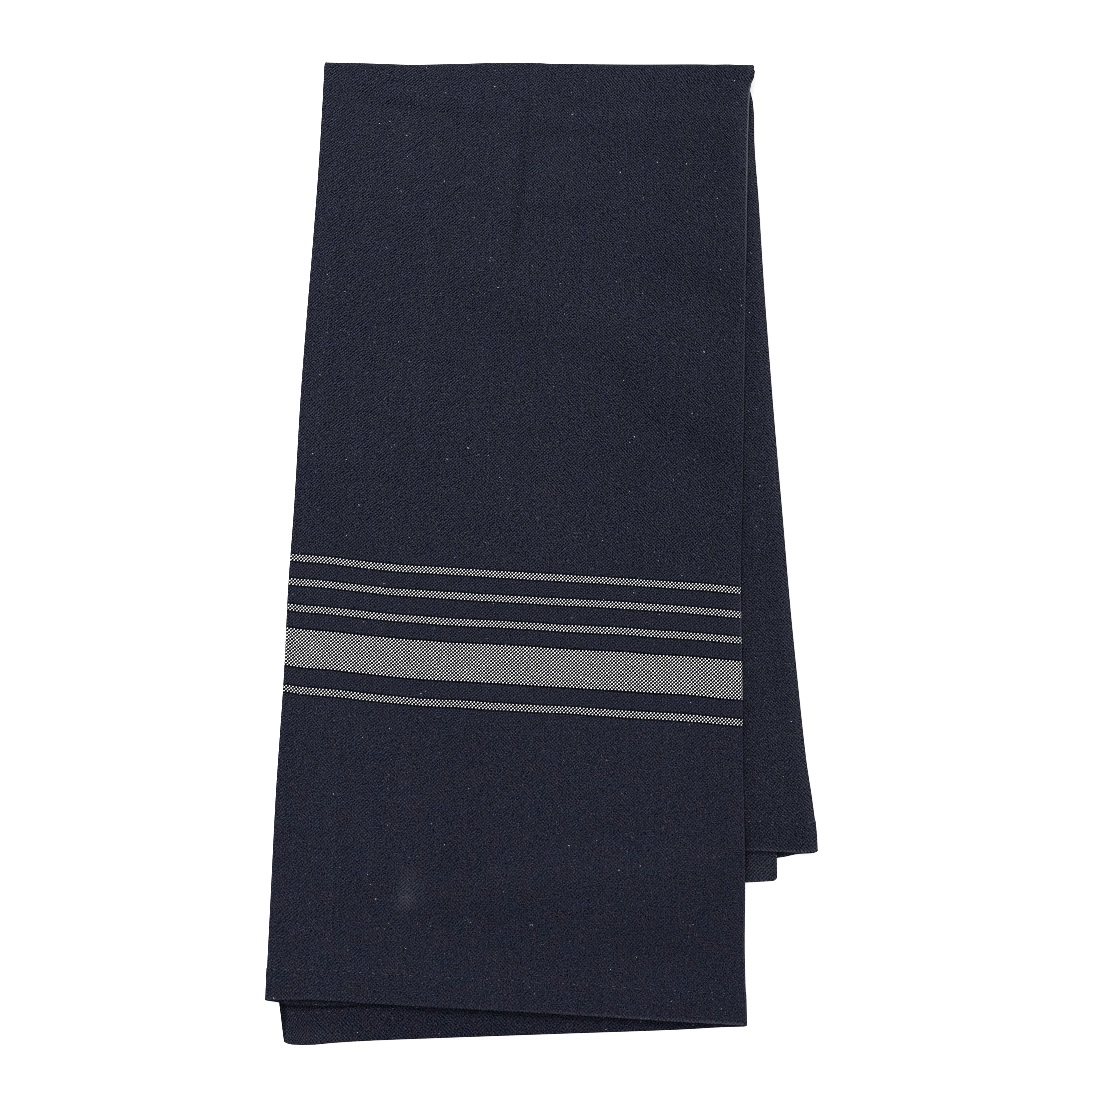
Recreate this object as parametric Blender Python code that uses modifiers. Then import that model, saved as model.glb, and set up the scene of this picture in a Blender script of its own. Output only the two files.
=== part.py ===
"""Tea towel, 50 x 70 cm, folded and lying flat.

The cloth is folded lengthwise in thirds, like a letter, and the strip is then folded crosswise
over the top, a little askew. So the front half leans to the left as it comes down and the shorter
back half under it leans to the right. Metres, +Z up, +Y towards the crosswise fold. The towel
lies on z = 0 with its footprint centred on the origin.

Six layers, from the top: middle third, inner third and wrapped third of the front half, then
wrapped, inner and middle third of the back half. Each layer runs on into the next round a fold.
"""

from collections import namedtuple
from math import pi

import bpy
import numpy as np

MM = 0.001

# Driving sizes
CLOTH_THICKNESS = 1.0 * MM
LAYER_PITCH = 1.4 * MM  # from the middle of one layer to the middle of the next
RAMP_LENGTH = 20 * MM  # over which the front half comes down where the back half ends
INNER_SHARE = 0.915  # the inner third reaches this far from the left fold to the right fold
WRAPPED_START = 0.024  # the wrapped third's selvedge, counted from the left fold
CORNER_TUCK = 2.4 * MM  # how far the wrapped third's selvedge turns in at its front hem

# How finely the sheet is divided
LEFT_FOLD_STEPS = 5
RIGHT_FOLD_STEPS = 6
TOP_FOLD_STEPS = 8
COLUMNS = (WRAPPED_START, 0.055, 0.09, 0.12, 0.15, 0.19, 0.27, 0.38, 0.50, 0.62, 0.74, 0.86, 0.94)
FRONT_ROWS = (187, 183, 179, 173, 162, 145, 120, 90, 55, 15, -25, -60, -95, -122,
              -134, -140, -143.5, -147, -150.5, -154, -160, -170)  # mm along Y
BACK_ROWS = (187, 183, 179, 173, 160, 140, 110, 75, 40, 0, -40, -80, -105, -117)  # mm along Y
HEM_AT = {"front": -184, "back": -130}  # mm along Y, where the hem row takes its folds' places

# Outer edges of the two lengthwise folds, in mm, going down from the crosswise fold
Folds = namedtuple("Folds", "y left right")
FRONT_FOLDS = (
    Folds(194, -89.8, 85.2),
    Folds(187, -90.1, 84.9),
    Folds(181, -90.2, 83.7),
    Folds(170, -90.4, 82.8),
    Folds(150, -91.0, 81.9),
    Folds(117, -92.5, 80.7),
    Folds(83, -94.3, 79.4),
    Folds(50, -95.8, 78.1),
    Folds(8, -97.0, 76.5),
    Folds(-27, -98.3, 75.1),
    Folds(-54, -98.8, 74.9),
    Folds(-107, -100.6, 74.3),
    Folds(-137, -101.1, 73.9),
    Folds(-165, -101.7, 73.4),
    Folds(-190, -102.1, 73.8),
)
BACK_FOLDS = (
    Folds(194, -89.8, 85.2),
    Folds(187, -89.5, 84.4),
    Folds(183, -89.3, 83.9),
    Folds(176, -88.9, 85.2),
    Folds(162, -88.3, 85.1),
    Folds(135, -87.0, 86.3),
    Folds(101, -85.4, 87.5),
    Folds(50, -83.0, 89.7),
    Folds(2, -80.7, 92.2),
    Folds(-30, -79.2, 93.9),
    Folds(-61, -77.7, 95.8),
    Folds(-92, -76.2, 98.5),
    Folds(-107, -75.5, 100.3),
    Folds(-122, -74.8, 101.4),
    Folds(-140, -73.9, 101.6),
)

# Outer line of the crosswise fold and the hem of every layer, in mm
Along = namedtuple("Along", "x y")
CROSSWISE_FOLD = (
    Along(-90, 195.0),
    Along(-83, 194.7),
    Along(-68, 194.1),
    Along(-55, 193.8),
    Along(-35, 194.1),
    Along(-15, 194.6),
    Along(6, 194.1),
    Along(47, 193.8),
    Along(85, 193.6),
)
HEMS = {
    "front middle": (Along(-102, -179.3), Along(-92, -179.2), Along(-67, -180.3), Along(-16, -183.2),
                     Along(49, -186.9), Along(74, -188.2)),
    "front inner": (Along(-102, -179.3), Along(-96, -180.3), Along(60, -181.6)),
    "front wrapped": (Along(-96, -193.2), Along(-93, -194.7), Along(-89, -195.4), Along(-67, -194.1),
                      Along(-9, -192.0), Along(49, -190.0), Along(74, -188.6)),
    "back middle": (Along(-75, -139.8), Along(88, -127.6), Along(95, -126.3), Along(99.5, -126.0),
                    Along(101.5, -124.8)),
    "back inner": (Along(-75, -139.8), Along(75, -137.1), Along(86, -136.4)),
    "back wrapped": (Along(-68, -124.5), Along(78, -125.0), Along(95, -125.7), Along(101.5, -124.8)),
}

# Broad swells of the front half where the cloth stands off the layers below, in mm
Swell = namedtuple("Swell", "x y across along height")
SWELLS = (
    Swell(45, 128, 34, 20, 0.5),
    Swell(-45, 150, 30, 26, 0.4),
    Swell(38, 40, 30, 34, 0.5),
    Swell(-50, -20, 26, 60, 0.3),
    Swell(20, -118, 48, 12, 0.6),
)

HALF_STACK = 2.5 * LAYER_PITCH  # from the crosswise fold's axis to the outermost layer
AXIS_HEIGHT = CLOTH_THICKNESS / 2 + HALF_STACK
DROP = 3 * LAYER_PITCH  # the back half's three layers

NAVY = (0.020, 0.022, 0.034, 1.0)


def through(table, at, x_name, y_name):
    """Smooth curve through a table's rows: cubic pieces with the slopes of the chords around them."""
    rows = sorted(table, key=lambda row: getattr(row, x_name))
    xs = np.array([getattr(row, x_name) for row in rows], float) * MM
    ys = np.array([getattr(row, y_name) for row in rows], float) * MM
    slopes = np.gradient(ys, xs)
    at = np.clip(at, xs[0], xs[-1])
    i = np.clip(np.searchsorted(xs, at) - 1, 0, len(xs) - 2)
    width = xs[i + 1] - xs[i]
    t = (at - xs[i]) / width
    rise = t * t * (3 - 2 * t)
    return (ys[i] * (1 - rise) + ys[i + 1] * rise
            + width * t * (1 - t) * ((1 - t) * slopes[i] - t * slopes[i + 1]))


def smooth_step(t):
    t = np.clip(t, 0, 1)
    return t * t * (3 - 2 * t)


def arc(start, end, steps):
    """Angles strictly between start and end."""
    return np.linspace(start, end, steps + 1)[1:-1]


def section(folds, y, tuck):
    """One section across the strip: x, radius and layer of each point, at the edges' height y.

    The radius is the distance from the crosswise fold's axis: half a pitch for the wrapped third,
    one and a half for the inner third and two and a half for the middle third. The section starts
    at the inner third's selvedge, goes left, round the left fold, right along the middle third,
    round the right fold and left again to the wrapped third's selvedge.
    """
    left = through(folds, y, "y", "left") + CLOTH_THICKNESS / 2
    right = through(folds, y, "y", "right") - CLOTH_THICKNESS / 2
    columns = left + (right - left) * np.array(COLUMNS)
    inner_edge = left + (right - left) * INNER_SHARE
    wrapped_edge = left + (right - left) * WRAPPED_START + tuck
    small, large = LAYER_PITCH / 2, LAYER_PITCH
    left_turn = arc(1.5 * pi, 0.5 * pi, LEFT_FOLD_STEPS)
    right_turn = arc(0.5 * pi, -0.5 * pi, RIGHT_FOLD_STEPS)
    inner = columns[columns < inner_edge - 2 * LAYER_PITCH][::-1]
    wrapped = columns[columns > wrapped_edge + LAYER_PITCH][::-1]
    runs = (
        ("inner", np.concatenate([[inner_edge], inner, [left + small]]), 1.5 * LAYER_PITCH),
        ("turn", left + small + small * np.cos(left_turn), 2 * LAYER_PITCH + small * np.sin(left_turn)),
        ("middle", np.concatenate([[left + small], columns, [right - large]]), 2.5 * LAYER_PITCH),
        ("turn", right - large + large * np.cos(right_turn), 1.5 * LAYER_PITCH + large * np.sin(right_turn)),
        ("wrapped", np.concatenate([[right - large], wrapped, [wrapped_edge]]), 0.5 * LAYER_PITCH),
    )
    names = [name for name, x, radius in runs for _ in x]
    x = np.concatenate([x for name, x, radius in runs])
    radius = np.concatenate([np.broadcast_to(radius, x.shape) for name, x, radius in runs])
    return x, radius, names


def hem_line(half, x, radius, names):
    """Where each point of a section meets its hem. Round a fold the two hems blend by height."""
    inner, middle, wrapped = (through(HEMS[f"{half} {third}"], x, "x", "y")
                              for third in ("inner", "middle", "wrapped"))
    toward_inner = (2.5 * LAYER_PITCH - radius) / LAYER_PITCH
    toward_wrapped = (2.5 * LAYER_PITCH - radius) / (2 * LAYER_PITCH)
    on_left = x < x.mean()
    turn = np.where(on_left, middle + (inner - middle) * toward_inner,
                    middle + (wrapped - middle) * toward_wrapped)
    names = np.array(names)
    return np.select([names == "inner", names == "middle", names == "wrapped"], [inner, middle, wrapped], turn)


def drop(x, y):
    """How far the front half comes down: nothing over the back half, all of it a ramp's length outside."""
    back_left = through(BACK_FOLDS, y, "y", "left")
    back_hem = through(HEMS["back inner"], x, "x", "y")
    outside = np.hypot(np.maximum(back_left - x, 0), np.maximum(back_hem - y, 0))
    return DROP * smooth_step(outside / RAMP_LENGTH)


def swell(x, y):
    """Soft unevenness shared by the front half's layers."""
    return sum(
        row.height * MM * np.exp(-(((x - row.x * MM) / (row.across * MM)) ** 2)
                                 - ((y - row.y * MM) / (row.along * MM)) ** 2)
        for row in SWELLS
    )


def half_row(half, folds, y):
    """A row of one half at a constant y, or its hem row where y is None. Points as x, y, height."""
    if y is None:
        x, radius, names = section(folds, HEM_AT[half] * MM, CORNER_TUCK)
        ys = hem_line(half, x, radius, names)
    else:
        x, radius, names = section(folds, y, 0.0)
        bow = through(CROSSWISE_FOLD, x, "x", "y") - folds[0].y * MM
        near_fold = smooth_step((y - 150 * MM) / (40 * MM))
        ys = y + bow * near_fold
    if half == "front":
        z = AXIS_HEIGHT + radius - drop(x, ys) + swell(x, ys)
    else:
        z = AXIS_HEIGHT - radius
    return np.stack([x, ys, z], axis=1)


def top_fold_rows():
    """Rows round the crosswise fold, from the front half's side to the back half's."""
    x, radius, names = section(FRONT_FOLDS, FRONT_FOLDS[0].y * MM, 0.0)
    axis_y = through(CROSSWISE_FOLD, x, "x", "y") - HALF_STACK - CLOTH_THICKNESS / 2
    for turn in np.linspace(0, pi, TOP_FOLD_STEPS + 1):
        yield np.stack([x, axis_y + radius * np.sin(turn), AXIS_HEIGHT + radius * np.cos(turn)], axis=1)


def towel_sheet():
    """Middle surface of the whole cloth, as rows from the front hem over the top to the back hem.

    Every cell is cut into two triangles along the diagonal that runs up to the right in plan, so
    layers that lie on each other bend alike and keep their distance.
    """
    front = [half_row("front", FRONT_FOLDS, None)]
    front += [half_row("front", FRONT_FOLDS, y * MM) for y in reversed(FRONT_ROWS)]
    back = [half_row("back", BACK_FOLDS, y * MM) for y in BACK_ROWS]
    back.append(half_row("back", BACK_FOLDS, None))
    rows = np.array(front + list(top_fold_rows()) + back)
    low, high = rows.min(axis=(0, 1)), rows.max(axis=(0, 1)) + (0, CLOTH_THICKNESS / 2, 0)
    rows -= ((low[0] + high[0]) / 2, (low[1] + high[1]) / 2, 0)
    count, across = rows.shape[:2]
    corner = np.arange(count * across).reshape(count, across)
    a, b, c, d = corner[:-1, :-1], corner[:-1, 1:], corner[1:, 1:], corner[1:, :-1]
    rightwards = (rows[:-1, 1:, 0] > rows[:-1, :-1, 0])[..., None]
    first = np.where(rightwards, np.stack([a, b, c], axis=-1), np.stack([a, b, d], axis=-1))
    second = np.where(rightwards, np.stack([a, c, d], axis=-1), np.stack([b, c, d], axis=-1))
    return rows.reshape(-1, 3), np.concatenate([first.reshape(-1, 3), second.reshape(-1, 3)])


def cloth_material():
    material = bpy.data.materials.new("navy_cotton")
    material.use_nodes = True
    shader = material.node_tree.nodes["Principled BSDF"]
    shader.inputs["Base Color"].default_value = NAVY
    shader.inputs["Roughness"].default_value = 0.9
    shader.inputs["Metallic"].default_value = 0.0
    return material


def build_towel(collection):
    points, triangles = towel_sheet()
    mesh = bpy.data.meshes.new("tea_towel")
    mesh.from_pydata(points.tolist(), [], triangles.tolist())
    mesh.update()
    towel = bpy.data.objects.new("tea_towel", mesh)
    collection.objects.link(towel)
    mesh.materials.append(cloth_material())
    mesh.shade_smooth()
    cloth = towel.modifiers.new("cloth", "SOLIDIFY")
    cloth.thickness = CLOTH_THICKNESS
    cloth.offset = 0
    cloth.use_even_offset = True
    return towel


for old in list(bpy.data.objects):
    bpy.data.objects.remove(old, do_unlink=True)
parts = bpy.data.collections.new("folded_tea_towel")
bpy.context.scene.collection.children.link(parts)
build_towel(parts)
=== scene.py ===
from math import cos, pi, radians, sin

import bpy
import numpy as np
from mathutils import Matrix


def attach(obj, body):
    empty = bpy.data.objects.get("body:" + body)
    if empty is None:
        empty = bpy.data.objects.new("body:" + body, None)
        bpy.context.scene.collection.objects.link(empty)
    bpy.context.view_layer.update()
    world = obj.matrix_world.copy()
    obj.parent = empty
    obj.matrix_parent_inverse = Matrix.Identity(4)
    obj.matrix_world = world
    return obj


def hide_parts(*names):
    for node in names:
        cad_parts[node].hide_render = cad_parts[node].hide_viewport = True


# A navy tea towel with a white woven border, folded in thirds and then over its middle.
# One sheet of cloth runs through all six layers. Lengths are in millimetres until a mesh is made.
mm = 0.001
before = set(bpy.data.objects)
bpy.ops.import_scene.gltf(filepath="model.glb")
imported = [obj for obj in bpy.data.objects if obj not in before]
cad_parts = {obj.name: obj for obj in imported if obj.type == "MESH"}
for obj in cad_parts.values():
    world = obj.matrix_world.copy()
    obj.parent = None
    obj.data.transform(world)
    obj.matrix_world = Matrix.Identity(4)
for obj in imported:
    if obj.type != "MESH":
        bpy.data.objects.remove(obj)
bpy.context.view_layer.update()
print("frame loaded:", *sorted(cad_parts))

towel = {
    "flatSize": (500, 700),
    "stackHeight": 8.0,  # top of the six layers where they lie flat
    "cloth": 0.5,  # thickness of one layer
    "hem": 0.9,  # of the turned hem
    "hemDepth": 11.9,  # from the hem's edge to where its turned cloth ends
    "hemStep": 0.9,  # over which the turned edge thins out
    "sideRamp": 20.0,  # over which the front half comes down past the back's left fold
    "hemRamp": 32.0,  # and over its hem
    "innerShare": 0.915,  # of the way from the left to the right fold that the inner third covers
    "wrappedStart": 0.0173,  # and at which the wrapped third's selvedge lies
    # how far it turns in at the front hem, from which y, and over what length and width
    "cornerTuck": (4.1, -171, 24, 16),
    "cornerRound": (1.6, 0.7),  # free corners of the inner third and of the wrapped third
    "foldCorner": {"left": 0.3, "right": 0.4},  # how far the top corners are pressed out
    "foldCornerFrom": (184, 6),  # y at which that begins, and its length
    "widthAtFold": 175.0,
    "waviness": 0.13,  # by which the front half's layers differ
    "backWaviness": 0.08,
    "humps": (11.5, 15.0),  # reach of those waves across and along, for each radian
    "humpShift": (2.1, 1.3),  # and their shift from layer to layer
    "humpStart": 0.7,
    "ripples": (29.0, 23.0),  # the same for slanting ones
    "rippleShift": 2.7,
    "rippleShare": 0.6,  # their height against the humps'
    "foldReach": 0.65,  # width of a lengthwise fold's turn, against its height
    "pressed": {"left": 0.1, "right": 0.6},  # how much closer layers lie at its folds
    "pressedReach": 12.0,  # and how far in from them
    "hemPressed": 0.25,  # and at its hem
    "hemPressedReach": 8.0,
    "sunk": 0.22,  # by which the right fold settles on the back
    "backRise": 0.55,  # by which the back's layers swell
    "riseReach": 30.0,  # and over what stretch from the crosswise fold
    "bulge": 0.7,  # and further beside the front's right fold
    "bulgeFrom": (-1.2, 1.2),  # from inside that fold's edge to outside it
    "backHemPressed": 0.4,  # how much flatter they lie at the back hem
    "backHemReach": 9.0,
    "droop": 9.0,  # over which a layer comes down past the hem below it
    "evenedOver": 80.0,  # past the crosswise fold, until the layers' yarns are level
    "turnSteps": 12,  # round the crosswise fold
    "foldSteps": {"left": 7, "right": 9},  # round the lengthwise folds
    "rimPoints": {"cloth": 4, "hem": 5},  # over the rounded rim of a selvedge and of a hem
    "selvedgeColumns": (0.9, 1.7, 3.2),  # places of the next columns in from a selvedge
    "hemRows": (1.3, 2.6, 4.6, 7, 9.2),  # of the next rows in from a hem
    "hemEndRows": (-0.9, -0.54, -0.18, 0.18, 1.2, 3),  # and about the end of its turned cloth
    # steps of rows and columns, and a stretch where they are closer: from, to, times closer
    "rows": {"front": (2.6, (338, 364, 1.8)), "back": (6.0, (0, 0, 1))},
    "columns": {"inner": (11.0, (130, 161, 3)), "middle": (1.8, (79, 91, 1.7)),
                "wrapped": (6.0, (132, 171, 3))},
}
towel["pitch"] = (towel["stackHeight"] - towel["cloth"]) / 5  # from one layer to the next
towel["halfStack"] = 2.5 * towel["pitch"]
towel["backStack"] = 3 * towel["pitch"]
towel["axisHeight"] = towel["cloth"] / 2 + towel["halfStack"]  # of the crosswise fold

# Outer edges of the lengthwise folds: y, left x, right x, from the crosswise fold down
frontFolds = np.array([
    (194, -89.8, 85.4), (191, -89.9, 85.6), (189, -90, 85.4), (187.4, -90.1, 84.9),
    (185.6, -90.1, 84.2), (183.5, -90.2, 83.8), (178, -90.3, 83.3), (170, -90.5, 82.8),
    (150, -91.1, 81.9), (117, -92.6, 80.7), (83, -94.4, 79.4), (50, -95.9, 78.1),
    (8, -97.1, 76.5), (-27, -98.5, 75.1), (-54, -98.9, 74.9), (-107, -100.6, 74.3),
    (-137, -101.1, 74.3), (-165, -101.6, 73.7), (-190, -102, 73.8),
])
backFolds = np.array([
    (194, -89.8, 85.2), (187, -89.5, 84.2), (184.5, -89.3, 83.8), (181, -89.2, 84.6),
    (176, -88.9, 85.3), (162, -88.3, 85.1), (135, -87, 86.2), (101, -85.4, 87.3),
    (50, -83, 89.6), (2, -80.7, 92.2), (-30, -79.2, 93.9), (-61, -77.7, 96),
    (-92, -76.2, 98.4), (-107, -75.5, 100.2), (-122, -74.8, 101.4), (-140, -73.9, 101.6),
])
# Outer line of the crosswise fold: x, y
crosswiseFold = np.array([
    (-90, 195.3), (-83, 195.1), (-68, 194.6), (-55, 194.2), (-35, 194.6),
    (-15, 195.1), (6, 194.6), (47, 194.3), (68, 194.3), (76, 194.7), (85, 194.8),
])
# Edge of each third's hem: x, y
hems = {
    "front": {
        "inner": np.array([
            (-102, -179.2), (-97.7, -179.7), (-96.2, -180.5), (-88.9, -181.1), (-74, -181.2),
            (-58, -180), (0, -182.4), (60, -185.6),
        ]),
        "middle": np.array([
            (-102, -179.1), (-88.8, -178.9), (-78.6, -179.3), (-65.1, -180.2), (-42.5, -181.5),
            (-15.9, -182.9), (21.2, -185), (49.5, -186.8), (74, -188.1),
        ]),
        "wrapped": np.array([
            (-97, -193.9), (-94.9, -194.5), (-93.6, -194.8), (-90.9, -194.9), (-86.5, -195),
            (-77.8, -194.3), (-66.9, -193.6), (-37.8, -192.5), (5.9, -191), (49.7, -189.5),
            (64.3, -188.7), (74, -188.4),
        ]),
    },
    "back": {
        "inner": np.array([(-75, -139.8), (75, -136.5), (86, -135.8)]),
        "middle": np.array([(-75, -139.8), (88, -127.2), (95, -125.9), (99.5, -125.7), (101.5, -125.2)]),
        "wrapped": np.array([(-68, -124.5), (78, -125), (95, -125.7), (101.5, -125.2)]),
    },
}
# Where the front half begins to come down over the back's hem: x, y
comingDown = np.array([(-75, -131), (38, -131), (60, -124), (74, -118)])
hemReach = {"front": 374.0, "back": 320.0}  # cloth from the crosswise fold to each hem
# Broad swells of the front half: x, y, reach across, reach along, height and tone, which is painted shade
# where negative and painted light where positive
swells = np.array([
    (45, 128, 34, 20, 0.4, 0), (-45, 150, 30, 26, 0.4, 0.03), (38, 40, 30, 34, 0.5, 0),
    (-50, -20, 26, 60, 0.3, 0), (20, -108, 48, 12, 0.4, 0), (54, 155, 20, 8, -0.2, -0.1),
    (58, 138, 22, 12, 0, -0.05), (38, -160, 40, 9, -0.2, -0.1), (-22, -100, 30, 20, 0, -0.06),
    (45, 92.3, 2, 2, 0, -0.28), (5, 147, 7, 11, 0.1, 0.05), (-31, -129, 13, 5, -0.1, -0.08),
    (64, 44, 14, 22, 0, -0.03), (-58, -149, 22, 11, 0, 0.06),
])
# Creases of the front half: start x, y, end x, y, half width, height (a trough is negative), tone (painted
# light where positive, painted shade where negative)
creases = np.array([
    (-6.7, 170, -11.4, 113, 1.9, -0.34, -0.2),
    (-2.8, 192, -3.8, 174, 2, 0.3, 0.12),
    (-63, 175.4, -27, 168.4, 2.8, -0.5, -0.13),
    (6, 169.5, 79.1, 170.8, 2.2, 0.28, 0.08),
    (4, 162.3, 20, 162.8, 3, -0.2, -0.08),
    (42.6, 162.5, 79, 163.5, 4.5, -0.2, -0.03),
    (-3, 129.6, 18.3, 128.8, 1.8, 0.25, -0.12),
    (-58.3, 164, -57.8, 136, 3, 0.1, 0.05),
    (50, 105.5, 80.5, 90, 8, -0.6, -0.13),
    (-28, 90, -8, 80, 9.5, -0.3, -0.09),
    (8, 69, 27, 67, 8, -0.3, -0.06),
    (34, 59, 43, 46, 9.5, -0.4, -0.1),
    (52, 39, 62, 31, 9, -0.4, -0.07),
    (67, 28.5, 81, 24.5, 8, -0.4, -0.08),
    (-36, -140, 62, -130.8, 5, 0.35, 0.05),
    (-50, -105, -50, -132, 2.5, 0, 0.05),
])
creaseFade = 9.0  # past a crease's ends
innerThird, leftFold, middleThird, rightFold, wrappedThird = range(5)  # along a section


def curveThrough(points, at):
    # Cubic pieces through points of two columns. A slope is the harmonic mean of the two chords
    # beside it, or level where they turn, so the curve never swings past its points.
    xs, ys = points[:, 0].astype(float), points[:, 1].astype(float)
    chord = np.diff(ys) / np.diff(xs)
    before, after = chord[:-1], chord[1:]
    alike = before * after > 0
    between = np.where(alike, 2 * before * after / np.where(alike, before + after, 1), 0)
    slope = np.concatenate([chord[:1], between, chord[-1:]])
    at = np.clip(at, xs[0], xs[-1])
    i = np.clip(np.searchsorted(xs, at) - 1, 0, len(xs) - 2)
    width = xs[i + 1] - xs[i]
    t = (at - xs[i]) / width
    rise = t * t * (3 - 2 * t)
    bend = t * (1 - t) * ((1 - t) * slope[i] - t * slope[i + 1])
    return ys[i] * (1 - rise) + ys[i + 1] * rise + width * bend


def smoothStep(t):
    # 0 to 1 as t goes from 0 to 1, level at both ends
    t = np.clip(t, 0, 1)
    return t * t * (3 - 2 * t)


def foldEdge(folds, y, side):
    # x of a lengthwise fold's outer edge, moved in to the middle of the cloth
    column, inward = {"left": (1, 1), "right": (2, -1)}[side]
    return curveThrough(folds[::-1, [0, column]], y) + inward * towel["cloth"] / 2


def gaugeFrom(edge, reach, step, fine):
    # Distances from an edge: close together over its rounded rim and hem, then steps to reach.
    low, high, closer = fine
    samples = 4000
    at = np.linspace(edge[-1], reach, samples)
    density = np.where((at > low) & (at < high), closer, 1) / step
    counted = np.concatenate([[0], np.cumsum((density[1:] + density[:-1]) / 2 * np.diff(at))])
    count = max(2, round(counted[-1]))
    evenly = np.interp(np.linspace(0, counted[-1], count + 1)[1:], counted, at)
    return np.concatenate([edge, evenly])


def rimPlaces(edge):
    # distances from an edge at which its rounded rim is drawn, evenly round its quarter circle
    return towel[edge] / 2 * (1 - np.cos(np.linspace(0, pi / 2, towel["rimPoints"][edge])))


def sectionColumns():
    # Each column of the sheet keeps its place in every section: x = left + share * width + offset,
    # and its distance from the crosswise fold's axis. The thirds are flat runs at 1.5, 2.5 and 0.5
    # pitches, joined by half circles of half a pitch on the left and one pitch on the right.
    # pressed is 1 halfway round the upper quarter of a half circle, where a fold's corner juts out.
    pitch, width = towel["pitch"], towel["widthAtFold"]
    small, large = pitch / 2, pitch
    narrow = towel["foldReach"]
    edge = np.concatenate([rimPlaces("cloth"), towel["selvedgeColumns"]])
    innerWidth = towel["innerShare"] * width
    wrappedWidth = (1 - towel["wrappedStart"]) * width

    inner = gaugeFrom(edge, innerWidth, *towel["columns"]["inner"])
    t = inner / innerWidth
    runs = [(towel["innerShare"] * (1 - t), narrow * small * t, 1.5 * pitch + 0 * t, inner, 0 * t)]
    turn = np.linspace(1.5 * pi, 0.5 * pi, towel["foldSteps"]["left"] + 1)[1:-1]
    pressed = np.maximum(-np.sin(2 * turn), 0) * (turn < pi)
    runs.append((0 * turn, narrow * (small + small * np.cos(turn)), 2 * pitch + small * np.sin(turn),
                 0 * turn + width, pressed))
    t = gaugeFrom(np.zeros(1), width, *towel["columns"]["middle"]) / width
    runs.append((t, narrow * (small * (1 - t) - large * t), 2.5 * pitch + 0 * t, 0 * t + width, 0 * t))
    turn = np.linspace(0.5 * pi, -0.5 * pi, towel["foldSteps"]["right"] + 1)[1:-1]
    runs.append((0 * turn + 1, narrow * (large * np.cos(turn) - large), 1.5 * pitch + large * np.sin(turn),
                 0 * turn + width, np.maximum(np.sin(2 * turn), 0)))
    wrapped = gaugeFrom(edge, wrappedWidth, *towel["columns"]["wrapped"])[::-1]
    t = 1 - wrapped / wrappedWidth
    runs.append((1 - (1 - towel["wrappedStart"]) * t, -narrow * large * (1 - t), 0.5 * pitch + 0 * t,
                 wrapped, 0 * t))

    columns = {"third": np.repeat(range(5), [len(run[0]) for run in runs])}
    for n, name in enumerate(("share", "offset", "radius", "fromSelvedge", "pressed")):
        columns[name] = np.concatenate([run[n] for run in runs])
    corner = towel["foldCorner"]
    outward = np.where(columns["third"] == leftFold, -corner["left"], corner["right"])
    columns["outward"] = outward * columns["pressed"]
    return columns


def placeAcross(columns, folds, y):
    # x of every column at the heights y. Near the front hem the wrapped third's selvedge turns in,
    # and at the crosswise fold the corners are pressed out.
    left, right = foldEdge(folds, y, "left"), foldEdge(folds, y, "right")
    x = left + columns["share"] * (right - left) + columns["offset"]
    furthest, begins, over, reach = towel["cornerTuck"]
    tuck = furthest * np.clip((begins - y) / over, 0, 1)
    inward = smoothStep(columns["fromSelvedge"] / reach)
    nearSelvedge = np.where(columns["third"] == wrappedThird, 1 - inward, 0)
    begins, over = towel["foldCornerFrom"]
    corner = smoothStep((y - begins) / over)
    return x + tuck * nearSelvedge + columns["outward"] * corner


def hemLine(half, columns, x):
    # y of the hem at every column. Round a lengthwise fold the hems of the two thirds beside it blend
    # by height, which is one pitch on the left and two on the right, and a free corner is rounded off.
    inner, middle, wrapped = (curveThrough(hems[half][name], x) for name in ("inner", "middle", "wrapped"))
    lower = (towel["halfStack"] - columns["radius"]) / towel["pitch"]
    leftTurn = middle + (inner - middle) * lower
    rightTurn = middle + (wrapped - middle) * lower / 2
    parts = [columns["third"] == n for n in (innerThird, leftFold, middleThird, rightFold)]
    y = np.select(parts, [inner, leftTurn, middle, rightTurn], wrapped)
    radius = np.where(columns["third"] == innerThird, *towel["cornerRound"])
    return y + radius - np.sqrt(radius ** 2 - np.maximum(radius - columns["fromSelvedge"], 0) ** 2)


def drop(x, y):
    # the front half comes down by the back half's three layers, past its left fold and over its hem
    aside = np.maximum(foldEdge(backFolds, y, "left") - x, 0) / towel["sideRamp"]
    beyond = np.maximum(curveThrough(comingDown, x) - y, 0) / towel["hemRamp"]
    return towel["backStack"] * smoothStep(np.hypot(aside, beyond))


def bell(distance, reach):
    # 1 at no distance, fading to both sides
    return np.exp(-(distance / reach) ** 2)


def near(distance, reach):
    # 1 on an edge, fading inwards
    return bell(np.maximum(distance, 0), reach)


def frontHeight(x, y, radius, fromHem):
    # The three layers lie at 0.5, 1.5 and 2.5 pitches over the axis, closer together along the folds
    # and the hem, and the right fold settles on the back.
    lowest, down = towel["pitch"] / 2, drop(x, y)
    left = near(x - foldEdge(frontFolds, y, "left"), towel["pressedReach"])
    right = near(foldEdge(frontFolds, y, "right") - x, towel["pressedReach"])
    together = towel["pressed"]["left"] * left + towel["pressed"]["right"] * right
    flat = (1 - together) * (1 - towel["hemPressed"] * near(fromHem, towel["hemPressedReach"]))
    settled = towel["sunk"] * right * (1 - down / towel["backStack"])
    z = towel["axisHeight"] + lowest + (radius - lowest) * flat - settled - down
    return z + relief(x, y) + towel["waviness"] * looseness(x, y, radius) * (1 - together)


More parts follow.
